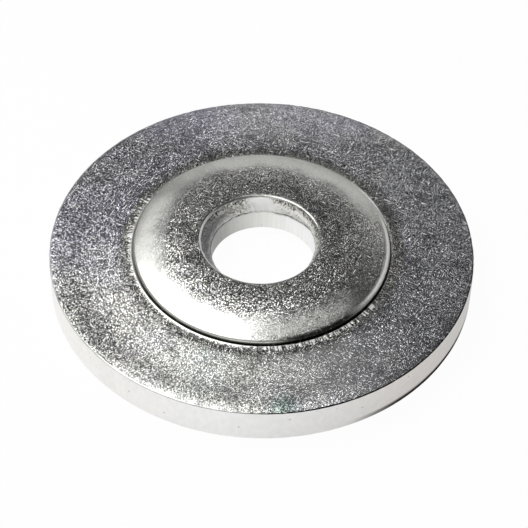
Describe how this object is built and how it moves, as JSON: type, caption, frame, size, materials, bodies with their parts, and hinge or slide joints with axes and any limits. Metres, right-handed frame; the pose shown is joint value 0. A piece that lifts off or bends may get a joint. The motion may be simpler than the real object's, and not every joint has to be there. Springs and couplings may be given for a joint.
{
  "type": "profiled washer",
  "caption": "Thick round steel washer with a flat rim and a low pressed dome round a plain central bore, spreading a bolt's load.",
  "frame": {"origin": "centre of the underside, on the bore's axis, where the washer rests", "axes": "+Z along the bore's axis, from the flat underside to the domed side; the washer is a turned form, so X and Y are alike"},
  "size_m": [0.045, 0.045, 0.0054],
  "materials": {
    "zinc_plated_steel": "bright zinc plate over grainy rolled steel, satin on the sheared walls"
  },
  "bodies": {
    "root": {"washer": "zinc_plated_steel"}
  },
  "joints": []
}
